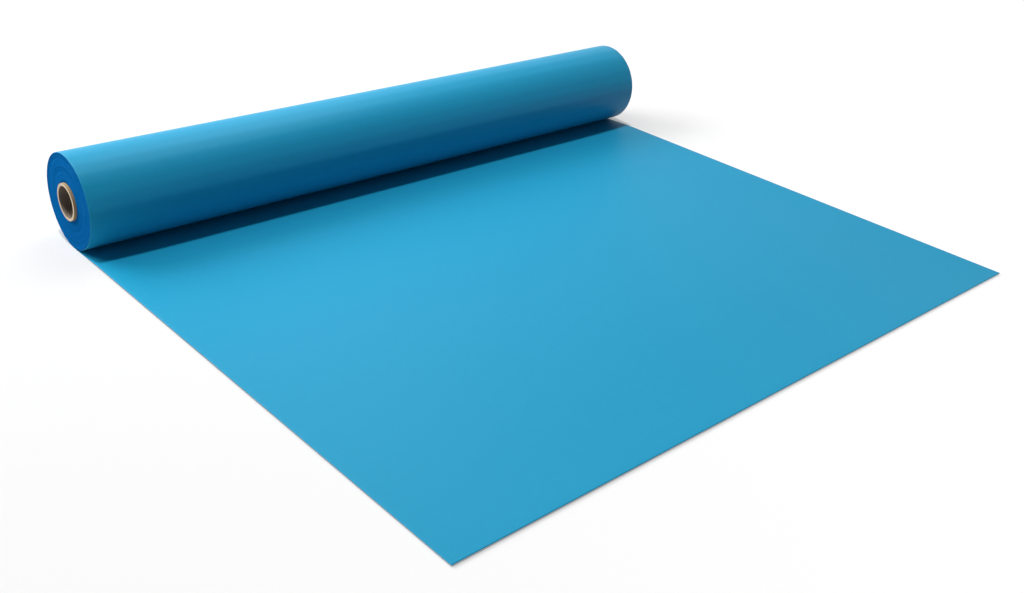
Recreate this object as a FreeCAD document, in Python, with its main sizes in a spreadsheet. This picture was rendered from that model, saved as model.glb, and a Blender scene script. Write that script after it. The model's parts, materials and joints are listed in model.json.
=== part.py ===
"""A wide roll of seamless backdrop paper on a paperboard core, with its first metre laid out on the floor.

The frame: +X runs along the roll, the free sheet runs towards -Y, +Z is up. The origin is on the floor,
at the middle of the whole object's footprint. All sizes are in millimetres, and the driving ones are in
the spreadsheet Sizes.

The paper is one web. Here it is three solids, because only its middle part bends: the free sheet that
lies on the floor, the quarter turn that leaves the floor and climbs the back of the roll, and the turns
that are still wound on the core.
"""
import FreeCAD, Part
import math
import os

import Sketcher

DRIVING_SIZES = [
    ("paper_width", 1350.0, "width of the paper, along the roll"),
    ("paper_thickness", 0.22, "caliper of the paper"),
    ("free_length", 1058.0, "paper that lies on the floor, from the front edge to the roll"),
    ("roll_diameter", 176.0, "outside of the wound turns"),
    ("lead_off_angle", 90.0, "how far the last turn climbs the back of the roll, in degrees"),
    ("running_gap", 0.3, "air between the web that lies still and the turns that move over it"),
    ("core_bore", 57.2, "clear inside diameter of the core"),
    ("ply_thickness", 0.54, "caliper of one ply of core board"),
    ("glue_line", 0.02, "adhesive between two plies"),
    ("core_overhang", 5.0, "how far the core stands out past the paper at each end"),
    ("tape_width", 25.0, "double-sided tape that holds the start of the paper, measured round the core"),
    ("tape_length", 60.0, "each piece of that tape, along the core"),
    ("tape_inset", 100.0, "from the edge of the paper to the middle of the outer pieces of tape"),
    ("tape_thickness", 0.15, "caliper of that tape"),
    ("winding_gap", 0.05, "air between the tape and the first turn"),
]

# The core is wound from this many plies, from the liner that faces the bore to the wrap outside.
PLY_COUNT = 10

# The sizes that follow from the driving ones, as expressions that read the spreadsheet.
ROLL_RADIUS = "Sizes.roll_diameter / 2"
LEAD_OFF_INNER = f"({ROLL_RADIUS} + Sizes.running_gap)"
LEAD_OFF_OUTER = f"({LEAD_OFF_INNER} + Sizes.paper_thickness)"
AXIS_HEIGHT = f"({LEAD_OFF_OUTER} + Sizes.running_gap + Sizes.paper_thickness)"
REAR_REACH = f"max({ROLL_RADIUS}; {LEAD_OFF_OUTER} * sin(min(Sizes.lead_off_angle; 90) * 1 deg))"
NIP_LINE = f"((Sizes.free_length - {REAR_REACH}) / 2)"
PLY_PITCH = "(Sizes.ply_thickness + Sizes.glue_line)"
CORE_RADIUS = f"(Sizes.core_bore / 2 + {PLY_COUNT} * {PLY_PITCH} - Sizes.glue_line)"
TAPE_OUTER = f"({CORE_RADIUS} + Sizes.tape_thickness)"
TAPE_ANGLE = f"Sizes.tape_width / {CORE_RADIUS} * 180 / pi"
CORE_LENGTH = "(Sizes.paper_width + 2 * Sizes.core_overhang)"
TAPE_REACH = "(Sizes.paper_width / 2 - Sizes.tape_inset)"

# The pieces of tape that hold the start of the paper, and where each is along the core.
TAPE_PLACES = {
    "start_tape_left": f"-{TAPE_REACH}",
    "start_tape_middle": "0 * Sizes.tape_inset",
    "start_tape_right": TAPE_REACH,
}

DEGREES_IN_TURN = 360.0
VOLUME_TOLERANCE = 1e-4


def make_sizes(doc):
    """The spreadsheet of driving sizes, with a note beside each."""
    sheet = doc.addObject("Spreadsheet::Sheet", "Sizes")
    for row, (alias, value, note) in enumerate(DRIVING_SIZES, start=1):
        sheet.set(f"A{row}", alias)
        sheet.set(f"B{row}", str(value))
        sheet.set(f"C{row}", note)
        sheet.setAlias(f"B{row}", alias)
    doc.recompute()
    return sheet


def new_body(doc, label):
    """An empty body, whose label names its file."""
    body = doc.addObject("PartDesign::Body", label)
    body.Label = label
    return body


def new_sketch(body, plane_role):
    """A sketch on one of the body's own origin planes."""
    sketch = body.newObject("Sketcher::SketchObject", f"{body.Name}_profile")
    plane = [feature for feature in body.Origin.OriginFeatures if feature.Role == plane_role][0]
    sketch.AttachmentSupport = [(plane, "")]
    sketch.MapMode = "FlatFace"
    return sketch


def constrain(sketch, name, constraint, expression):
    """Add a sizing constraint under a name, and bind it to an expression."""
    index = sketch.addConstraint(constraint)
    sketch.renameConstraint(index, name)
    sketch.setExpression(f"Constraints.{name}", expression)


def draw_rectangle(sketch, width, low, high):
    """A rectangle centred on the sketch's vertical axis, from low to high on it (both expressions)."""
    left, right, bottom, top = -10.0, 10.0, 1.0, 2.0
    corners = [(left, bottom), (right, bottom), (right, top), (left, top)]
    points = [FreeCAD.Vector(x, y, 0) for x, y in corners]
    for first, second in zip(points, points[1:] + points[:1]):
        sketch.addGeometry(Part.LineSegment(first, second), False)
    for line in range(4):
        sketch.addConstraint(Sketcher.Constraint("Coincident", line, 2, (line + 1) % 4, 1))
    for line, direction in ((1, "Vertical"), (2, "Horizontal"), (3, "Vertical")):
        sketch.addConstraint(Sketcher.Constraint(direction, line))
    sketch.addConstraint(Sketcher.Constraint("Symmetric", 0, 1, 0, 2, -2))
    constrain(sketch, "width", Sketcher.Constraint("DistanceX", 0, 1, 0, 2, right - left), width)
    constrain(sketch, "low", Sketcher.Constraint("DistanceY", -1, 1, 0, 1, bottom), low)
    constrain(sketch, "high", Sketcher.Constraint("DistanceY", -1, 1, 2, 1, top), high)


def draw_ring(sketch, inner_radius, outer_radius):
    """Two circles about the sketch's origin, with their radii bound to expressions."""
    for name, radius, expression in (("inner", 1.0, inner_radius), ("outer", 2.0, outer_radius)):
        circle = sketch.addGeometry(Part.Circle(FreeCAD.Vector(), FreeCAD.Vector(0, 0, 1), radius), False)
        sketch.addConstraint(Sketcher.Constraint("Coincident", circle, 3, -1, 1))
        constrain(sketch, name, Sketcher.Constraint("Radius", circle, radius), expression)


def stand_on_axis(body):
    """Put a body drawn about its own origin on the roll's axis."""
    body.setExpression("Placement.Base.y", NIP_LINE)
    body.setExpression("Placement.Base.z", AXIS_HEIGHT)


def make_tube(doc, label, inner_radius, outer_radius, length):
    """A plain tube on the roll's axis: a ring padded half each way."""
    body = new_body(doc, label)
    sketch = new_sketch(body, "YZ_Plane")
    draw_ring(sketch, inner_radius, outer_radius)
    pad = body.newObject("PartDesign::Pad", f"{label}_pad")
    pad.Profile = sketch
    pad.SideType = "Symmetric"
    pad.setExpression("Length", length)
    stand_on_axis(body)
    return body


def make_curved_strip(doc, label, inner_radius, outer_radius, width, angle):
    """A strip bent round the roll's axis, from its lowest line up the back through an angle."""
    body = new_body(doc, label)
    sketch = new_sketch(body, "XZ_Plane")
    draw_rectangle(sketch, width, f"-{outer_radius}", f"-{inner_radius}")
    sweep = body.newObject("PartDesign::Revolution", f"{label}_sweep")
    sweep.Profile = sketch
    sweep.ReferenceAxis = (sketch, ["H_Axis"])
    sweep.setExpression("Angle", angle)
    stand_on_axis(body)
    return body


def make_free_sheet(doc):
    """The paper that lies on the floor, from its front edge to the line where the roll stands on it."""
    body = new_body(doc, "free_sheet")
    sketch = new_sketch(body, "XY_Plane")
    draw_rectangle(sketch, "Sizes.paper_width", "-Sizes.free_length", "0 * Sizes.free_length")
    pad = body.newObject("PartDesign::Pad", "free_sheet_pad")
    pad.Profile = sketch
    pad.setExpression("Length", "Sizes.paper_thickness")
    body.setExpression("Placement.Base.y", NIP_LINE)
    return body


def make_lead_off_web(doc):
    """The part of the last turn that has left the roll and is on its way down to the floor."""
    return make_curved_strip(
        doc, "lead_off_web", LEAD_OFF_INNER, LEAD_OFF_OUTER, "Sizes.paper_width", "Sizes.lead_off_angle"
    )


def make_wound_paper(doc):
    """The turns on the core, as one solid: the air between two turns is thinner than the paper."""
    inner_radius = f"({TAPE_OUTER} + Sizes.winding_gap)"
    return make_tube(doc, "wound_paper", inner_radius, ROLL_RADIUS, "Sizes.paper_width")


def make_start_tapes(doc):
    """The pieces of double-sided tape on the core that the first edge of the paper sticks to."""
    tapes = []
    for label, place in TAPE_PLACES.items():
        tape = make_curved_strip(doc, label, CORE_RADIUS, TAPE_OUTER, "Sizes.tape_length", TAPE_ANGLE)
        tape.setExpression("Placement.Base.x", place)
        tapes.append(tape)
    return tapes


def ply_label(index):
    """The name of a core ply, counted outwards from the bore."""
    if index == 0:
        return "core_liner_ply"
    if index == PLY_COUNT - 1:
        return "core_wrap_ply"
    return f"core_body_ply_{index}"


def make_core(doc):
    """The plies of the paperboard core, one inside the next, with a glue line between them."""
    plies = []
    for index in range(PLY_COUNT):
        inner_radius = f"(Sizes.core_bore / 2 + {index} * {PLY_PITCH})"
        outer_radius = f"({inner_radius} + Sizes.ply_thickness)"
        plies.append(make_tube(doc, ply_label(index), inner_radius, outer_radius, CORE_LENGTH))
    return plies


def expected_volumes(sheet):
    """The volume each kind of sub-part should have, worked out without the model."""
    roll_radius = sheet.roll_diameter / 2
    core_radius = sheet.core_bore / 2 + PLY_COUNT * (sheet.ply_thickness + sheet.glue_line) - sheet.glue_line
    pack_bore = core_radius + sheet.tape_thickness + sheet.winding_gap
    lead_off_middle = roll_radius + sheet.running_gap + sheet.paper_thickness / 2
    tape_share = sheet.tape_width / core_radius / (2 * math.pi)
    tape_middle = core_radius + sheet.tape_thickness / 2
    turn_share = sheet.lead_off_angle / DEGREES_IN_TURN
    web_section = sheet.paper_width * sheet.paper_thickness
    tape_section = sheet.tape_length * sheet.tape_thickness
    volumes = {
        "free_sheet": web_section * sheet.free_length,
        "lead_off_web": web_section * 2 * math.pi * lead_off_middle * turn_share,
        "wound_paper": math.pi * (roll_radius**2 - pack_bore**2) * sheet.paper_width,
    }
    for label in TAPE_PLACES:
        volumes[label] = tape_section * 2 * math.pi * tape_middle * tape_share
    return volumes


def check(doc, parts, sheet):
    """Stop if anything failed to build, or a sub-part has the wrong volume."""
    for item in doc.Objects:
        if "Invalid" in item.State or "Error" in item.State:
            raise RuntimeError(f"{item.Label} did not build: {item.State}")
    volumes = expected_volumes(sheet)
    for part in parts:
        shape = part.Shape
        if shape.isNull() or not shape.isValid() or len(shape.Solids) != 1:
            raise RuntimeError(f"{part.Label} is not one valid solid")
        expected = volumes.get(part.Label, shape.Volume)
        if abs(shape.Volume - expected) > VOLUME_TOLERANCE * expected:
            raise RuntimeError(f"{part.Label} has {shape.Volume:.1f} mm3, not {expected:.1f} mm3")


def main():
    """Build the roll, check it and write each sub-part to its own file."""
    doc = FreeCAD.newDocument("BackdropPaperRoll")
    sheet = make_sizes(doc)
    parts = [make_free_sheet(doc), make_lead_off_web(doc), make_wound_paper(doc)]
    parts += make_start_tapes(doc)
    parts += make_core(doc)
    doc.recompute()
    check(doc, parts, sheet)
    os.makedirs("parts", exist_ok=True)
    for part in parts:
        part.Shape.exportStep(f"parts/{part.Label}.step")
        box = part.Shape.BoundBox
        print(f"{part.Label}: {box.XLength:.2f} x {box.YLength:.2f} x {box.ZLength:.2f} mm")


main()
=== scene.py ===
import json
import math
import random
from functools import cache

import bpy
import numpy as np
from mathutils import Matrix, Vector


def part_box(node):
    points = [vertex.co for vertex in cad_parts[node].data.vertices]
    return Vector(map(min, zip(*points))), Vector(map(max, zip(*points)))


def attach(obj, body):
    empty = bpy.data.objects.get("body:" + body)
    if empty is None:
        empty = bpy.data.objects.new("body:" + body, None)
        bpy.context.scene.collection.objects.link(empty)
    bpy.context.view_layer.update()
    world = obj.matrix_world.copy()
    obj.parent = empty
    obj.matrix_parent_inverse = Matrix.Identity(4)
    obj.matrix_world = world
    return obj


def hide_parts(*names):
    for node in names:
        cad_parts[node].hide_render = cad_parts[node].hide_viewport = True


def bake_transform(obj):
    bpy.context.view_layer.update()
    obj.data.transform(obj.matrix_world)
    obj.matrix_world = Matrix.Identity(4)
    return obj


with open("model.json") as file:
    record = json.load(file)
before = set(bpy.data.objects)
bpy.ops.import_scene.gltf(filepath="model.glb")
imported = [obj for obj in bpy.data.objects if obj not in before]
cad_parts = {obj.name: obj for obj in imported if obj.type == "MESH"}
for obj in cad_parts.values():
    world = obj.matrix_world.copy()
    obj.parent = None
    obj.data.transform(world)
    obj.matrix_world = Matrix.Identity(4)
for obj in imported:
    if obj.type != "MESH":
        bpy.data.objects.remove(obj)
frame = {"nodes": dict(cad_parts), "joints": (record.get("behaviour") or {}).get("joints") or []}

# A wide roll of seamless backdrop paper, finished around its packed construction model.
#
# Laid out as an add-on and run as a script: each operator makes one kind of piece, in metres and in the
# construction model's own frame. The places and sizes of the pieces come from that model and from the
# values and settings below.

bl_info = {
    "name": "Backdrop paper roll",
    "version": (1, 0, 0),
    "blender": (4, 5, 0),
    "location": "View3D > Sidebar > Paper roll",
    "description": "Finishes a roll of seamless backdrop paper on its paperboard core",
    "category": "Object",
}

MM = 0.001
TURN = 2 * math.pi

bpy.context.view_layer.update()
SPIN_JOINT = next(joint for joint in frame["joints"] if joint["name"] == "roll_spin")
AXIS_Y, AXIS_Z = SPIN_JOINT["pos_m"][1:]
BODY_PLIES = 8
CORE_PLIES = ["core_liner_ply"] + [f"core_body_ply_{n + 1}" for n in range(BODY_PLIES)] + ["core_wrap_ply"]
START_TAPES = ["start_tape_left", "start_tape_middle", "start_tape_right"]

# The web of paper.
FINEST_STEP = 0.45 * MM            # between points at an edge of the paper
WIDEST_STEP = 30 * MM              # between points away from the edges
STEP_GROWTH = 1.45                 # from one step to the next
RIPPLE_SEED = 11
RIPPLE_COUNT = 7
RIPPLE_RANGE = (2.5, 9.0)          # radians a metre
RAMP_LENGTH = 60 * MM              # along which the sheet rises from the floor to the roll
RAMP_STEPS = 8
HELD_LENGTH = 50 * MM              # beside the roll, where its weight keeps the sheet flat
WEB_WRAP = math.radians(104)       # how far round the roll the web goes before it is lost in the turns
WRAP_STEPS = 44
PAPER_CREASE = math.radians(50)    # edges of the paper that turn by more than this are sharp

# The wound turns.
LEFT_END_SEED = 5
RIGHT_END_SEED = 6
BAND_RANGE = (0.4, 2.2)            # narrowest and widest band, as shares of the usual width
DRIFT_KEPT = 0.72                  # share of one band's offset that the next one keeps
BAND_SHOULDER = 0.05 * MM
RIM_FACETS = 6                     # across the rounding of the outer turns' edge
FACE_FACETS = 4                    # of those that show the paper's face; the rest show its cut edge
ROLL_LENGTHS = 30                  # lengths that the roll's outside is divided into
FLATS_SEED = 23
FLATS_COUNT = 9
FLATS_ROUND = (7, 28)              # fewest and most soft flats round the roll
FLATS_SLOPE = 2.5                  # radians a metre, the most they lean either way
FLATS_FADE = 5 * MM                # how far inside the roll's outside the soft flats fade out

# The core.
CUT_BACK = 0.35 * MM               # how far the innermost and outermost plies stand back at the saw cut
SEAM_STEP = 0.37                   # share of a turn from one ply's seam to the next ply's
BOARD_CREASE = math.radians(40)    # edges of the board that turn by more than this are sharp

# Colours of worn paper, and of flecks in the board.
WORN_FACE = (0.10, 0.42, 0.66)
WORN_EDGE = (0.03, 0.25, 0.56)
FLECK_SHADE = 0.55                 # how light a fleck in the board is, as a share of the board's colour

# The stage.
BRIGHTEST_FLOOR = (-1.35, AXIS_Y + 1.0, 0.0)
LIFT_START = 1.0                   # distance from the brightest floor where it begins to need more light
LIFT_END = 3.7                     # distance where it needs the most
LEAST_LIFT = 0.05
DUST_SHADE = 0.01                  # how much dust darkens the floor
VIEW_TARGET = (-0.155, -0.102, 0.0)
SENSOR_WIDTH = 36.0
WIDE_SOFTBOX = {"shape": "RECTANGLE", "size": 2.4, "size_y": 1.4}
LAMPS = [                          # name, kind, setting with its strength, place, target, shape
    ("top_lamp", "SUN", "top_light", (-0.21, AXIS_Y, 2.0), (0.0, AXIS_Y, 0.0),
     {"angle": math.radians(4)}),
    ("back_softbox", "AREA", "back_light", (-1.7, AXIS_Y + 1.9, 2.0), (-0.2, 0.0, 0.0),
     WIDE_SOFTBOX),
    ("far_softbox", "AREA", "far_light", (0.6, AXIS_Y + 2.6, 1.7), (0.0, 0.0, 0.0),
     WIDE_SOFTBOX),
    ("side_softbox", "AREA", "side_light", (-3.2, 0.2, 0.7), (0.0, 0.2, 0.1),
     {"shape": "RECTANGLE", "size": 2.0, "size_y": 1.0}),
    ("end_lamp", "AREA", "end_light", (0.1, AXIS_Y + 0.35, 1.3), (-0.75, AXIS_Y, 0.0),
     {"shape": "DISK", "size": 1.1}),
]


# ---------------------------------------------------------------- settings

class PaperSettings(bpy.types.PropertyGroup):
    """How the web of paper lies, and its colours."""

    dye: bpy.props.FloatVectorProperty(
        name="Dye", description="Colour of the paper's face", subtype="COLOR", size=3, min=0, max=1,
        default=(0.0085, 0.295, 0.505))
    cut_dye: bpy.props.FloatVectorProperty(
        name="Cut edge", description="Deeper colour of the stacked cut edges", subtype="COLOR", size=3,
        min=0, max=1, default=(0.003, 0.12, 0.37))
    edge_lift: bpy.props.FloatProperty(
        name="Edge lift", description="How far the free edges stand off the floor", subtype="DISTANCE",
        default=3.6 * MM, min=0)
    edge_band: bpy.props.FloatProperty(
        name="Edge band", description="How far in from an edge the lift reaches", subtype="DISTANCE",
        default=60 * MM, min=MM)
    edge_crush: bpy.props.FloatProperty(
        name="Edge crush", description="How far the slit edge is pressed down by the knife",
        subtype="DISTANCE", default=0.8 * MM, min=0)
    crush_width: bpy.props.FloatProperty(
        name="Crush width", description="Width of the pressed edge", subtype="DISTANCE",
        default=1.1 * MM, min=0.1 * MM)
    ripple: bpy.props.FloatProperty(
        name="Ripple", description="Height of the long waves in the laid sheet", subtype="DISTANCE",
        default=0.25 * MM, min=0)


class RollSettings(bpy.types.PropertyGroup):
    """How the turns are wound."""

    facets: bpy.props.IntProperty(
        name="Facets", description="Faces round the roll", default=224, min=32)
    stagger: bpy.props.FloatProperty(
        name="Stagger", description="How far bands of turns stand in and out at the ends",
        subtype="DISTANCE", default=0.28 * MM, min=0)
    band_width: bpy.props.FloatProperty(
        name="Band width", description="Usual width of a band of turns", subtype="DISTANCE",
        default=1.1 * MM, min=0.1 * MM)
    rim_radius: bpy.props.FloatProperty(
        name="Rim radius", description="Rounding of the outer turns' edge", subtype="DISTANCE",
        default=1.4 * MM, min=0)
    rim_stand: bpy.props.FloatProperty(
        name="Rim stand", description="How far the outer turns stand out past the rest at the ends",
        subtype="DISTANCE", default=0.6 * MM, min=0)
    tension_waves: bpy.props.FloatProperty(
        name="Tension waves", description="Depth of the soft flats that run along the roll",
        subtype="DISTANCE", default=0.6 * MM, min=0)


class CoreSettings(bpy.types.PropertyGroup):
    """How the paperboard core is wound and coloured."""

    wrap: bpy.props.FloatVectorProperty(
        name="Wrap", description="Colour of the ply outside", subtype="COLOR", size=3, min=0, max=1,
        default=(0.38, 0.25, 0.12))
    board: bpy.props.FloatVectorProperty(
        name="Board", description="Colour of the sawn plies", subtype="COLOR", size=3, min=0, max=1,
        default=(0.62, 0.51, 0.36))
    liner: bpy.props.FloatVectorProperty(
        name="Liner", description="Colour of the ply that faces the bore", subtype="COLOR", size=3,
        min=0, max=1, default=(0.17, 0.13, 0.10))
    tape: bpy.props.FloatVectorProperty(
        name="Tape", description="Colour of the tissue tape under the first turn", subtype="COLOR",
        size=3, min=0, max=1, default=(0.80, 0.77, 0.68))
    strip_pitch: bpy.props.FloatProperty(
        name="Strip pitch", description="How far a strip of board climbs in one turn",
        subtype="DISTANCE", default=96 * MM, min=10 * MM)
    seam: bpy.props.FloatProperty(
        name="Seam", description="Gap where a strip meets itself", subtype="DISTANCE",
        default=0.5 * MM, min=0)
    facets: bpy.props.IntProperty(
        name="Facets", description="Faces round the core", default=96, min=24)


class StageSettings(bpy.types.PropertyGroup):
    """Floor, light and camera."""

    floor_size: bpy.props.FloatProperty(
        name="Floor size", description="Side of the floor", subtype="DISTANCE", default=24.0)
    floor_shade: bpy.props.FloatProperty(
        name="Floor shade", description="How pale the floor is", subtype="FACTOR", default=0.64,
        min=0, max=1)
    floor_lift: bpy.props.FloatProperty(
        name="Floor lift",
        description="White that the floor shows, for each metre from where it is brightest",
        default=0.21, min=0)
    world_level: bpy.props.FloatProperty(
        name="Room light", description="Even light from all round", default=0.09, min=0)
    top_light: bpy.props.FloatProperty(
        name="Top light", description="Strength of the small lamp overhead", default=1.68, min=0)
    back_light: bpy.props.FloatProperty(
        name="Back light", description="Power of the softbox behind the roll", default=95.0, min=0)
    far_light: bpy.props.FloatProperty(
        name="Far light", description="Power of the softbox behind the roll's far end", default=2.0, min=0)
    side_light: bpy.props.FloatProperty(
        name="Side light", description="Power of the softbox off the roll's near end", default=4.0, min=0)
    end_light: bpy.props.FloatProperty(
        name="End light", description="Power of the lamp above the roll, aimed at its near end", default=6.0,
        min=0)
    view_azimuth: bpy.props.FloatProperty(
        name="View azimuth", description="Turn of the view from +Y towards +X", subtype="ANGLE",
        default=math.radians(43.87))
    view_elevation: bpy.props.FloatProperty(
        name="View elevation", description="How steeply the camera looks down", subtype="ANGLE",
        default=math.radians(27.77))
    view_roll: bpy.props.FloatProperty(
        name="View roll", description="Lean of the camera about its line of sight", subtype="ANGLE",
        default=math.radians(4.19))
    view_distance: bpy.props.FloatProperty(
        name="View distance", description="From the camera to the point it looks at",
        subtype="DISTANCE", default=1.983)
    lens: bpy.props.FloatProperty(
        name="Lens", description="Focal length on a 36 mm sensor, in millimetres", default=40.37)


# ---------------------------------------------------------------- meshes

def distances_from_axis(node):
    """How far a built node's nearest and furthest points are from the roll's axis."""
    points = np.array([vertex.co for vertex in frame["nodes"][node].data.vertices])
    distances = np.hypot(points[:, 1] - AXIS_Y, points[:, 2] - AXIS_Z)
    return float(distances.min()), float(distances.max())


def paper_thickness():
    """The built sheet's thickness."""
    low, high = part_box("free_sheet")
    return high[2] - low[2]


def add_piece(name, points, faces, materials, slots=None):
    """A smooth-shaded mesh object of the given points and faces, with a material slot for each face."""
    mesh = bpy.data.meshes.new(name)
    mesh.from_pydata([tuple(point) for point in points], [], faces)
    for material in materials:
        mesh.materials.append(material)
    if slots is not None:
        mesh.polygons.foreach_set("material_index", slots)
    mesh.polygons.foreach_set("use_smooth", [True] * len(mesh.polygons))
    mesh.update()
    piece = bpy.data.objects.new(name, mesh)
    bpy.context.scene.collection.objects.link(piece)
    return piece


def grid_faces(rows, columns, first=0, flip=False, wrap=False):
    """Quads over a grid of points numbered row by row; wrap joins the last column to the first."""
    faces = []
    for row in range(rows - 1):
        for column in range(columns if wrap else columns - 1):
            following = (column + 1) % columns
            corners = [
                first + row * columns + column,
                first + row * columns + following,
                first + (row + 1) * columns + following,
                first + (row + 1) * columns + column,
            ]
            faces.append(corners[::-1] if flip else corners)
    return faces


def sharpen(piece, angle):
    """Keep edges that turn by more than an angle crisp under smooth shading."""
    piece.data.set_sharp_from_angle(angle=angle)


def steps_from_edge(length):
    """Places along a length that start finely spaced and widen to an even coarse spacing."""
    places = [0.0]
    step = FINEST_STEP
    while places[-1] + step < length:
        places.append(places[-1] + step)
        step = min(step * STEP_GROWTH, WIDEST_STEP)
    return places


def both_edges(half_width):
    """Places across a width, finely spaced at both edges and coarsely between."""
    half = [half_width - place for place in steps_from_edge(half_width)]
    return sorted({-place for place in half} | {0.0} | set(half))


# ---------------------------------------------------------------- the web of paper

class WebPath:
    """The web's course from its front edge, over the floor and up the back of the roll."""

    def __init__(self, paper):
        sheet_low, sheet_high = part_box("free_sheet")
        self.half_width = sheet_high[0]
        self.front, self.nip = sheet_low[1], sheet_high[1]
        self.thickness = paper_thickness()
        self.outer = distances_from_axis("lead_off_web")[1]
        self.turns_radius = distances_from_axis("wound_paper")[1]
        self.paper = paper
        chance = random.Random(RIPPLE_SEED)
        self.waves = [
            (chance.uniform(*RIPPLE_RANGE), chance.uniform(*RIPPLE_RANGE), chance.uniform(0, TURN))
            for _ in range(RIPPLE_COUNT)
        ]

    def ripple(self, x, y):
        """Long shallow waves, between 0 and 1."""
        total = sum(math.sin(a * x + b * y + c) for a, b, c in self.waves)
        return 0.5 + 0.5 * total / len(self.waves)

    def rise(self, x, y):
        """How far the laid sheet's underside is off the floor."""
        paper = self.paper
        margins = self.half_width - abs(x), y - self.front
        held = min(1.0, max(0.0, (self.nip - y) / (HELD_LENGTH + paper.edge_band)))
        held = held * held * (3 - 2 * held)
        side_lift, front_lift = [math.exp(-(margin / paper.edge_band) ** 1.5) for margin in margins]
        lift = paper.edge_lift * (1 - (1 - side_lift) * (1 - front_lift))
        crush = paper.edge_crush * max(0.0, 1 - min(margins) / paper.crush_width) ** 2
        to_roll = AXIS_Z - self.outer
        ramp = max(0.0, 1 - (self.nip - y) / RAMP_LENGTH) ** 2
        return held * (lift - min(crush, lift) + paper.ripple * self.ripple(x, y)) + ramp * to_roll

    def flat_rows(self):
        """Places along the laid sheet, fine at the front edge and towards the roll."""
        length = self.nip - self.front
        rows = {self.front + place for place in steps_from_edge(length - RAMP_LENGTH)}
        rows |= {self.nip - RAMP_LENGTH + RAMP_LENGTH * step / RAMP_STEPS for step in range(RAMP_STEPS + 1)}
        return sorted(rows)

    def arc_point(self, share):
        """Middle radius and angle of the web on its way up the roll, sinking into the turns at its end."""
        angle = WEB_WRAP * share
        sink = (self.outer - self.turns_radius) * share**2
        return self.outer - self.thickness / 2 - sink, angle


def web_points(path, side):
    """The points of one face of the web, row by row; side is -1 for its floor side and 1 for the other."""
    columns = both_edges(path.half_width)
    points = []
    for y in path.flat_rows():
        for x in columns:
            above = path.thickness if side > 0 else 0.0
            points.append((x, y, path.rise(x, y) + above))
    for step in range(1, WRAP_STEPS + 1):
        radius, angle = path.arc_point(step / WRAP_STEPS)
        radius -= side * path.thickness / 2
        for x in columns:
            points.append((x, AXIS_Y + radius * math.sin(angle), AXIS_Z - radius * math.cos(angle)))
    return points, len(columns)


def rim_faces(rows, columns, below):
    """Quads round the border of two matching grids, the second one numbered from below."""
    border = [(0, column) for column in range(columns)]
    border += [(row, columns - 1) for row in range(1, rows)]
    border += [(rows - 1, column) for column in range(columns - 2, -1, -1)]
    border += [(row, 0) for row in range(rows - 2, 0, -1)]
    numbers = [row * columns + column for row, column in border]
    return [
        (first, below + first, below + second, second)
        for first, second in zip(numbers, numbers[1:] + numbers[:1])
    ]


class PAPERROLL_OT_lay_web(bpy.types.Operator):
    """Make the web of paper from its front edge to where it meets the turns on the roll"""

    bl_idname = "paperroll.lay_web"
    bl_label = "Lay the web"

    def execute(self, context):
        path = WebPath(context.scene.paperroll_paper)
        upper, columns = web_points(path, 1)
        lower, _ = web_points(path, -1)
        rows = len(upper) // columns
        faces = grid_faces(rows, columns)
        faces += grid_faces(rows, columns, first=len(upper), flip=True)
        border = rim_faces(rows, columns, len(upper))
        laid_points = (len(path.flat_rows()) - 1) * columns
        laid, cut, taut = range(3)
        slots = [taut if min(face) % len(upper) >= laid_points else laid for face in faces]
        slots += [cut] * len(border)
        piece = add_piece(
            "paper_web", upper + lower, faces + border, [laid_paper(), cut_edges(), taut_paper()], slots)
        sharpen(piece, PAPER_CREASE)
        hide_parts("free_sheet", "lead_off_web")
        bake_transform(piece)
        return {"FINISHED"}


# ---------------------------------------------------------------- the wound turns

def staggered_bands(inner, outer, roll, seed):
    """Radii and offsets of the bands of turns at one end of the roll, from the core outwards."""
    chance = random.Random(seed)
    bands = []
    radius = inner
    drift = 0.0
    while radius < outer:
        width = roll.band_width * chance.uniform(*BAND_RANGE)
        drift = DRIFT_KEPT * drift + chance.uniform(-0.5, 0.5) * roll.stagger
        bands.append((radius, min(radius + width, outer), drift))
        radius += width
    return bands


def end_profile(inner, outer, roll, seed):
    """(radius, offset) points across one end of the roll, with a small shoulder at each band's edges."""
    rim = roll.rim_radius
    points = []
    for low, high, offset in staggered_bands(inner, outer - rim, roll, seed):
        middle = (low + high) / 2
        points.append((low + BAND_SHOULDER, offset - BAND_SHOULDER))
        points.append((middle, offset))
        points.append((high - BAND_SHOULDER, offset - BAND_SHOULDER))
    for step in range(RIM_FACETS + 1):
        angle = math.pi / 2 * step / RIM_FACETS
        points.append((outer - rim + rim * math.sin(angle), roll.rim_stand + rim * math.cos(angle) - rim))
    return points


def tension_wave(angle, x, waves):
    """How deep the soft flats are at one place on the roll, between 0 and 1."""
    total = sum(math.sin(count * angle + slope * x + phase) for count, slope, phase in waves)
    return 0.5 + 0.5 * total / len(waves)


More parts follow.
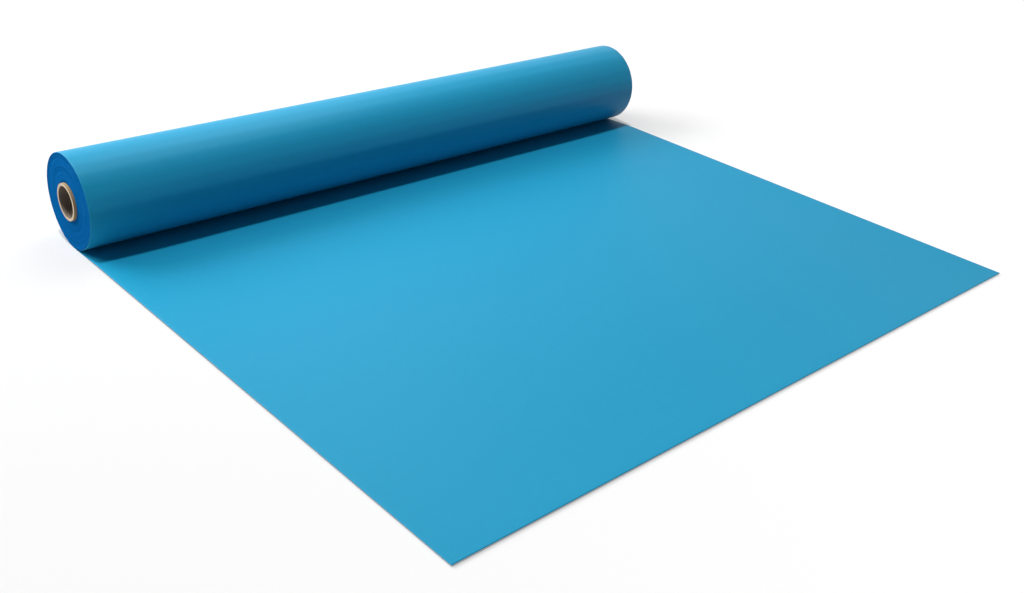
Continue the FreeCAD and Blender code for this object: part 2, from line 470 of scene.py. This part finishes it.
class PAPERROLL_OT_wind_turns(bpy.types.Operator):
    """Make the turns that are wound on the core, with their staggered edges at both ends"""

    bl_idname = "paperroll.wind_turns"
    bl_label = "Wind the turns"

    def execute(self, context):
        roll = context.scene.paperroll_roll
        inner, outer = distances_from_axis("wound_paper")
        half_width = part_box("wound_paper")[1][0]
        left_end = end_profile(inner, outer, roll, LEFT_END_SEED)
        right_end = end_profile(inner, outer, roll, RIGHT_END_SEED)
        left = [(radius, -half_width - offset) for radius, offset in left_end]
        right = [(radius, half_width + offset) for radius, offset in right_end]
        width = 2 * half_width
        waist = [(outer, -half_width + width * step / ROLL_LENGTHS) for step in range(1, ROLL_LENGTHS)]
        profile = left + waist + right[::-1]
        chance = random.Random(FLATS_SEED)
        waves = [
            (chance.randint(*FLATS_ROUND), chance.uniform(-FLATS_SLOPE, FLATS_SLOPE), chance.uniform(0, TURN))
            for _ in range(FLATS_COUNT)
        ]
        points = []
        for rim, x in profile:
            for facet in range(roll.facets):
                angle = TURN * facet / roll.facets
                share = min(1.0, max(0.0, (rim - outer) / FLATS_FADE + 1))
                radius = rim - share * roll.tension_waves * tension_wave(angle, x, waves)
                points.append((x, AXIS_Y + radius * math.sin(angle), AXIS_Z - radius * math.cos(angle)))
        faces = grid_faces(len(profile) + 1, roll.facets, flip=True, wrap=True)
        faces = [[corner % len(points) for corner in face] for face in faces]
        taut, cut = range(2)
        face_start = len(left) - 1 - FACE_FACETS
        face_end = len(left) + len(waist) + FACE_FACETS
        rings = [taut if face_start <= row < face_end else cut for row in range(len(profile))]
        slots = [slot for slot in rings for _ in range(roll.facets)]
        piece = add_piece("wound_turns", points, faces, [taut_paper(), cut_edges()], slots)
        sharpen(piece, PAPER_CREASE)
        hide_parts("wound_paper")
        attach(piece, SPIN_JOINT["child"])
        return {"FINISHED"}


# ---------------------------------------------------------------- the core

def ply_shell(inner, outer, half_length, core, phase):
    """Points and faces of one ply: a strip of board wound into a tube, with an open butt seam."""
    facets = core.facets
    points, faces = [], []
    count = math.ceil(2 * half_length / core.strip_pitch) + 2
    for coil in range(-1, count):
        first = len(points)
        columns = []
        for facet in range(facets + 1):
            climb = core.strip_pitch * (facet / facets + phase)
            low = -half_length + (coil - 1) * core.strip_pitch + climb + core.seam / 2
            high = low + core.strip_pitch - core.seam
            columns.append((max(low, -half_length), min(high, half_length)))
        used = [facet for facet, (low, high) in enumerate(columns) if high > low]
        if len(used) < 2:
            continue
        for facet in used:
            low, high = columns[facet]
            angle = TURN * facet / facets
            for x, radius in ((low, outer), (high, outer), (high, inner), (low, inner)):
                points.append((x, AXIS_Y + radius * math.sin(angle), AXIS_Z - radius * math.cos(angle)))
        for step in range(len(used) - 1):
            near, far = first + 4 * step, first + 4 * step + 4
            for side in range(4):
                following = (side + 1) % 4
                faces.append([near + side, near + following, far + following, far + side])
        last = first + 4 * (len(used) - 1)
        faces.append([first, first + 3, first + 2, first + 1])
        faces.append([last, last + 1, last + 2, last + 3])
    return points, faces


class PAPERROLL_OT_wind_core(bpy.types.Operator):
    """Make the plies of the paperboard core as helical strips of board"""

    bl_idname = "paperroll.wind_core"
    bl_label = "Wind the core"

    def execute(self, context):
        core = context.scene.paperroll_core
        finishes = {
            "core_liner_ply": (liner_board(), "core_liner_board"),
            "core_wrap_ply": (wrap_board(), "core_wrap_board"),
        }
        body_finish = (sawn_board(), "core_body_board")
        last = len(CORE_PLIES) - 1
        for number, node in enumerate(CORE_PLIES):
            inner, outer = distances_from_axis(node)
            from_middle = abs(2 * number / last - 1)
            half_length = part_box(node)[1][0] - CUT_BACK * from_middle**4
            phase = (SEAM_STEP * number) % 1.0
            points, faces = ply_shell(inner, outer, half_length, core, phase)
            material, slot = finishes.get(node, body_finish)
            piece = add_piece(node + "_strip", points, faces, [material])
            sharpen(piece, BOARD_CREASE)
            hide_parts(node)
            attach(piece, SPIN_JOINT["child"])
        return {"FINISHED"}


class PAPERROLL_OT_finish_tapes(bpy.types.Operator):
    """Give the pieces of tape under the first turn their tissue finish"""

    bl_idname = "paperroll.finish_tapes"
    bl_label = "Finish the tapes"

    def execute(self, context):
        for node in START_TAPES:
            frame["nodes"][node].data.materials[0] = tissue_tape()
        return {"FINISHED"}


# ---------------------------------------------------------------- finishes

def add_node(tree, kind, inputs=None, **settings):
    """Add a node, set it up, and set or link its inputs."""
    node = tree.nodes.new(kind)
    for name, value in settings.items():
        setattr(node, name, value)
    for name, value in (inputs or {}).items():
        if isinstance(value, bpy.types.NodeSocket):
            tree.links.new(value, node.inputs[name])
        else:
            node.inputs[name].default_value = value
    return node


def do_math(tree, operation, first, second=0.0, third=0.0):
    """The result of a Math node."""
    return add_node(tree, "ShaderNodeMath", {0: first, 1: second, 2: third}, operation=operation).outputs[0]


def blend_colours(tree, share, first, second, mode="MIX"):
    """The result of a colour Mix node."""
    node = add_node(tree, "ShaderNodeMix", {0: share, 6: first, 7: second}, data_type="RGBA", blend_type=mode)
    return node.outputs[2]


def new_group(name, inputs, outputs):
    """An empty shader group with float or vector sockets, and its input and output nodes."""
    group = bpy.data.node_groups.new(name, "ShaderNodeTree")
    for socket, kind, default in inputs:
        made = group.interface.new_socket(socket, in_out="INPUT", socket_type=kind)
        if default is not None:
            made.default_value = default
    for socket in outputs:
        group.interface.new_socket(socket, in_out="OUTPUT", socket_type="NodeSocketFloat")
    return group, group.nodes.new("NodeGroupInput").outputs, group.nodes.new("NodeGroupOutput").inputs


def fibre_tooth():
    """The shader group for felted fibres: a fine tooth, and the cloudiness of the sheet it makes."""
    if "Fibre tooth" in bpy.data.node_groups:
        return bpy.data.node_groups["Fibre tooth"]
    group, given, result = new_group(
        "Fibre tooth",
        [("Vector", "NodeSocketVector", None), ("Tooth size", "NodeSocketFloat", 0.4),
         ("Cloud size", "NodeSocketFloat", 8.0)],
        ["Height", "Cloud"])
    tooth_scale = do_math(group, "DIVIDE", 1000.0, given["Tooth size"])
    cloud_scale = do_math(group, "DIVIDE", 1000.0, given["Cloud size"])
    tooth = add_node(group, "ShaderNodeTexNoise", {
        "Vector": given["Vector"], "Scale": tooth_scale, "Detail": 3.0, "Roughness": 0.6})
    cloud = add_node(group, "ShaderNodeTexNoise", {
        "Vector": given["Vector"], "Scale": cloud_scale, "Detail": 4.0, "Roughness": 0.55})
    group.links.new(tooth.outputs[0], result["Height"])
    group.links.new(cloud.outputs[0], result["Cloud"])
    return group


def handling_marks():
    """The shader group for the faint scuffs and smears that handling leaves, as a mask."""
    if "Handling marks" in bpy.data.node_groups:
        return bpy.data.node_groups["Handling marks"]
    group, given, result = new_group(
        "Handling marks",
        [("Vector", "NodeSocketVector", None), ("Size", "NodeSocketFloat", 60.0),
         ("Amount", "NodeSocketFloat", 0.5)],
        ["Mask"])
    scale = do_math(group, "DIVIDE", 1000.0, given["Size"])
    smears = add_node(group, "ShaderNodeTexNoise", {
        "Vector": given["Vector"], "Scale": scale, "Detail": 5.0, "Roughness": 0.7, "Distortion": 0.6})
    picked = add_node(group, "ShaderNodeMapRange", {
        "Value": smears.outputs[0], "From Min": 0.55, "From Max": 0.75})
    mask = do_math(group, "MULTIPLY", picked.outputs[0], given["Amount"])
    group.links.new(mask, result["Mask"])
    return group


def use_group(tree, group, vector, **values):
    """Place a shader group in a material, with its own values."""
    node = add_node(tree, "ShaderNodeGroup", node_tree=group)
    tree.links.new(vector, node.inputs["Vector"])
    for name, value in values.items():
        node.inputs[name.replace("_", " ")].default_value = value
    return node.outputs


def new_material(name):
    """A named material with nodes, its shader, and the object's own coordinates."""
    material = bpy.data.materials.new(name)
    material.use_nodes = True
    tree = material.node_tree
    shader = tree.nodes["Principled BSDF"]
    place = add_node(tree, "ShaderNodeTexCoord").outputs["Object"]
    return material, tree, shader, place


def vary(tree, colour, amount, low=0.9, high=1.1):
    """A colour made darker and lighter by a changing value from 0 to 1."""
    factor = add_node(tree, "ShaderNodeMapRange", {"Value": amount, "To Min": low, "To Max": high}).outputs[0]
    grey = add_node(tree, "ShaderNodeCombineColor", {0: factor, 1: factor, 2: factor}).outputs[0]
    return blend_colours(tree, 1.0, colour, grey, "MULTIPLY")


def opaque(colour):
    """A colour setting as the four values a colour socket takes."""
    return (*colour, 1.0)


def satin_paper(name, smoothest, dullest):
    """Smooth dyed paper with a satin face, in a range of roughness."""
    dye = opaque(bpy.context.scene.paperroll_paper.dye)
    material, tree, shader, place = new_material(name)
    fibre = use_group(tree, fibre_tooth(), place, Tooth_size=0.5, Cloud_size=14.0)
    marks = use_group(tree, handling_marks(), place, Size=170.0, Amount=0.5)
    colour = vary(tree, dye, fibre["Cloud"], 0.97, 1.03)
    wear = do_math(tree, "MULTIPLY", marks["Mask"], 0.06)
    worn = blend_colours(tree, wear, colour, opaque(WORN_FACE))
    tree.links.new(worn, shader.inputs["Base Color"])
    rough = add_node(tree, "ShaderNodeMapRange", {
        "Value": fibre["Height"], "To Min": smoothest, "To Max": dullest})
    rough = do_math(tree, "MULTIPLY_ADD", marks["Mask"], 0.06, rough.outputs[0])
    tree.links.new(rough, shader.inputs["Roughness"])
    bump = add_node(tree, "ShaderNodeBump", {
        "Height": fibre["Height"], "Strength": 0.25, "Distance": 0.03 * MM})
    tree.links.new(bump.outputs[0], shader.inputs["Normal"])
    shader.inputs["Specular IOR Level"].default_value = 0.2
    return material


@cache
def laid_paper():
    """The paper's face where it lies slack on the floor."""
    return satin_paper("backdrop_paper_laid", 0.48, 0.56)


@cache
def taut_paper():
    """The paper's face where winding has pulled it tight and burnished it."""
    return satin_paper("backdrop_paper_taut", 0.41, 0.48)


@cache
def cut_edges():
    """The stacked edges of the turns: fine spiral lines in a deeper colour."""
    dye = opaque(bpy.context.scene.paperroll_paper.cut_dye)
    pitch = paper_thickness()
    material, tree, shader, place = new_material("backdrop_paper_cut_edges")
    parts = add_node(tree, "ShaderNodeSeparateXYZ", {0: place}).outputs
    across = do_math(tree, "SUBTRACT", parts[1], AXIS_Y)
    up = do_math(tree, "SUBTRACT", parts[2], AXIS_Z)
    across_squared = do_math(tree, "MULTIPLY", across, across)
    radius = do_math(tree, "SQRT", do_math(tree, "MULTIPLY_ADD", up, up, across_squared))
    angle = do_math(tree, "ARCTAN2", up, across)
    unwound = do_math(tree, "MULTIPLY_ADD", angle, pitch / TURN, radius)
    lines = do_math(tree, "PINGPONG", unwound, pitch / 2)
    lines = do_math(tree, "DIVIDE", lines, pitch / 2)
    bands = add_node(tree, "ShaderNodeTexNoise", {"W": unwound, "Scale": 420.0, "Detail": 5.0},
                     noise_dimensions="1D").outputs[0]
    fibre = use_group(tree, fibre_tooth(), place, Tooth_size=0.25, Cloud_size=22.0)
    marks = use_group(tree, handling_marks(), place, Size=40.0, Amount=0.8)
    colour = vary(tree, dye, bands, 0.78, 1.22)
    colour = vary(tree, colour, lines, 0.93, 1.05)
    colour = vary(tree, colour, fibre["Cloud"], 0.92, 1.08)
    wear = do_math(tree, "MULTIPLY", marks["Mask"], 0.15)
    worn = blend_colours(tree, wear, colour, opaque(WORN_EDGE))
    tree.links.new(worn, shader.inputs["Base Color"])
    rough = add_node(tree, "ShaderNodeMapRange", {"Value": bands, "To Min": 0.62, "To Max": 0.8})
    tree.links.new(rough.outputs[0], shader.inputs["Roughness"])
    shader.inputs["Specular IOR Level"].default_value = 0.0
    height = do_math(tree, "MULTIPLY_ADD", lines, 0.5, fibre["Height"])
    bump = add_node(tree, "ShaderNodeBump", {"Height": height, "Strength": 0.3, "Distance": 0.05 * MM})
    tree.links.new(bump.outputs[0], shader.inputs["Normal"])
    return material


def board(name, colour, tooth, contrast):
    """A grade of core board: felted fibre, with flecks and a soft mottle."""
    material, tree, shader, place = new_material(name)
    fibre = use_group(tree, fibre_tooth(), place, Tooth_size=tooth, Cloud_size=6.0)
    marks = use_group(tree, handling_marks(), place, Size=3.0, Amount=0.7)
    tone = vary(tree, opaque(colour), fibre["Cloud"], 1 - contrast, 1 + contrast)
    tone = vary(tree, tone, fibre["Height"], 1 - contrast / 2, 1 + contrast / 2)
    fleck = [FLECK_SHADE * value for value in colour]
    flecked = blend_colours(tree, do_math(tree, "MULTIPLY", marks["Mask"], 0.4), tone, opaque(fleck))
    tree.links.new(flecked, shader.inputs["Base Color"])
    rough = add_node(tree, "ShaderNodeMapRange", {"Value": fibre["Height"], "To Min": 0.72, "To Max": 0.92})
    tree.links.new(rough.outputs[0], shader.inputs["Roughness"])
    bump = add_node(tree, "ShaderNodeBump", {
        "Height": fibre["Height"], "Strength": 0.5, "Distance": 0.12 * MM})
    tree.links.new(bump.outputs[0], shader.inputs["Normal"])
    return material


@cache
def liner_board():
    """The smooth brown ply that faces the bore."""
    return board("core_liner_kraft", bpy.context.scene.paperroll_core.liner, 0.5, 0.14)


@cache
def sawn_board():
    """The grey-tan plies, seen where the saw cut them."""
    return board("core_board_sawn", bpy.context.scene.paperroll_core.board, 0.35, 0.2)


@cache
def wrap_board():
    """The kraft ply outside."""
    return board("core_wrap_kraft", bpy.context.scene.paperroll_core.wrap, 0.6, 0.12)


@cache
def tissue_tape():
    """Thin double-sided tissue tape."""
    return board("tissue_tape", bpy.context.scene.paperroll_core.tape, 0.3, 0.08)


# ---------------------------------------------------------------- the stage

def seen_or_mirrored(tree):
    """1 where a surface is seen, directly, mirrored or through glass, and 0 where it only gives light."""
    rays = add_node(tree, "ShaderNodeLightPath").outputs
    reflected = do_math(tree, "MAXIMUM", rays["Is Glossy Ray"], rays["Is Transmission Ray"])
    return do_math(tree, "MAXIMUM", rays["Is Camera Ray"], reflected)


def floor_material(stage):
    """A plain pale floor that keeps its shadows; it is seen evenly white away from the softbox."""
    material, tree, shader, place = new_material("studio_floor")
    dust = use_group(tree, handling_marks(), place, Size=500.0, Amount=0.3)
    shade = add_node(tree, "ShaderNodeMapRange", {
        "Value": dust["Mask"], "To Min": stage.floor_shade, "To Max": stage.floor_shade - DUST_SHADE})
    white = add_node(tree, "ShaderNodeCombineColor", {n: shade.outputs[0] for n in range(3)}).outputs[0]
    tree.links.new(white, shader.inputs["Base Color"])
    shader.inputs["Roughness"].default_value = 0.9
    shader.inputs["Specular IOR Level"].default_value = 0.1
    away = add_node(tree, "ShaderNodeVectorMath", {0: place, 1: BRIGHTEST_FLOOR}, operation="DISTANCE")
    most_lift = LEAST_LIFT + stage.floor_lift * (LIFT_END - LIFT_START)
    lift = add_node(tree, "ShaderNodeMapRange", {
        "Value": away.outputs["Value"], "From Min": LIFT_START, "From Max": LIFT_END,
        "To Min": LEAST_LIFT, "To Max": most_lift})
    added = do_math(tree, "MULTIPLY", seen_or_mirrored(tree), lift.outputs[0])
    glow = add_node(tree, "ShaderNodeCombineColor", {n: added for n in range(3)}).outputs[0]
    tree.links.new(glow, shader.inputs["Emission Color"])
    shader.inputs["Emission Strength"].default_value = 1.0
    return material


def room_light(level):
    """An even room, at full white where it is seen."""
    world = bpy.data.worlds.new("studio_room")
    world.use_nodes = True
    tree = world.node_tree
    background = tree.nodes["Background"]
    background.inputs["Color"].default_value = (1, 1, 1, 1)
    strength = add_node(tree, "ShaderNodeMapRange", {
        "Value": seen_or_mirrored(tree), "To Min": level, "To Max": 1.0})
    tree.links.new(strength.outputs[0], background.inputs["Strength"])
    bpy.context.scene.world = world


def aim(thing, place, target):
    """Put a lamp or camera at a place, looking at a target."""
    thing.location = place
    thing.rotation_mode = "QUATERNION"
    thing.rotation_quaternion = (Vector(target) - Vector(place)).to_track_quat("-Z", "Y")


def add_lamp(name, kind, energy, place, target, **settings):
    """A lamp of one kind, aimed at a target."""
    data = bpy.data.lights.new(name, kind)
    data.energy = energy
    for key, value in settings.items():
        setattr(data, key, value)
    lamp = bpy.data.objects.new(name, data)
    bpy.context.scene.collection.objects.link(lamp)
    aim(lamp, place, target)


def add_camera(stage):
    """The camera, from the view's angles, its distance and the point on the floor that it looks at."""
    target = Vector(VIEW_TARGET)
    level, turn = stage.view_elevation, stage.view_azimuth
    forward = Vector((math.cos(level) * math.sin(turn), math.cos(level) * math.cos(turn), -math.sin(level)))
    data = bpy.data.cameras.new("studio_camera")
    data.sensor_width = SENSOR_WIDTH
    data.lens = stage.lens
    camera = bpy.data.objects.new("studio_camera", data)
    bpy.context.scene.collection.objects.link(camera)
    aim(camera, target - forward * stage.view_distance, target)
    camera.rotation_quaternion = Matrix.Rotation(-stage.view_roll, 3, forward).to_quaternion() @ (
        camera.rotation_quaternion)
    bpy.context.scene.camera = camera


class PAPERROLL_OT_set_stage(bpy.types.Operator):
    """Lay the floor, hang the lamps and stand the camera"""

    bl_idname = "paperroll.set_stage"
    bl_label = "Set the stage"

    def execute(self, context):
        stage = context.scene.paperroll_stage
        half = stage.floor_size / 2
        corners = [(-half, -half, 0), (half, -half, 0), (half, half, 0), (-half, half, 0)]
        floor = add_piece("studio_floor", corners, [(0, 1, 2, 3)], [floor_material(stage)])
        room_light(stage.world_level)
        for name, kind, strength, place, target, shape in LAMPS:
            add_lamp(name, kind, getattr(stage, strength), place, target, **shape)
        add_camera(stage)
        context.scene.view_settings.view_transform = "Standard"
        return {"FINISHED"}


class PAPERROLL_PT_panel(bpy.types.Panel):
    """The panel that lists the steps"""

    bl_idname = "PAPERROLL_PT_panel"
    bl_label = "Paper roll"
    bl_space_type = "VIEW_3D"
    bl_region_type = "UI"
    bl_category = "Paper roll"

    def draw(self, context):
        for step in STEPS:
            self.layout.operator(step.bl_idname)
        for group in SETTINGS:
            settings = getattr(context.scene, group)
            box = self.layout.box()
            for name in settings.__annotations__:
                box.prop(settings, name)


STEPS = [
    PAPERROLL_OT_lay_web,
    PAPERROLL_OT_wind_turns,
    PAPERROLL_OT_wind_core,
    PAPERROLL_OT_finish_tapes,
    PAPERROLL_OT_set_stage,
]
SETTINGS = {
    "paperroll_paper": PaperSettings,
    "paperroll_roll": RollSettings,
    "paperroll_core": CoreSettings,
    "paperroll_stage": StageSettings,
}


def register():
    """Register the settings, the operators and the panel."""
    for name, group in SETTINGS.items():
        bpy.utils.register_class(group)
        setattr(bpy.types.Scene, name, bpy.props.PointerProperty(type=group))
    for step in STEPS:
        bpy.utils.register_class(step)
    bpy.utils.register_class(PAPERROLL_PT_panel)


def unregister():
    """Undo register."""
    bpy.utils.unregister_class(PAPERROLL_PT_panel)
    for step in reversed(STEPS):
        bpy.utils.unregister_class(step)
    for name, group in SETTINGS.items():
        delattr(bpy.types.Scene, name)
        bpy.utils.unregister_class(group)


def main():
    """Register the add-on and run every step in order."""
    register()
    bpy.ops.paperroll.lay_web()
    bpy.ops.paperroll.wind_turns()
    bpy.ops.paperroll.wind_core()
    bpy.ops.paperroll.finish_tapes()
    bpy.ops.paperroll.set_stage()


if __name__ == "__main__":
    main()
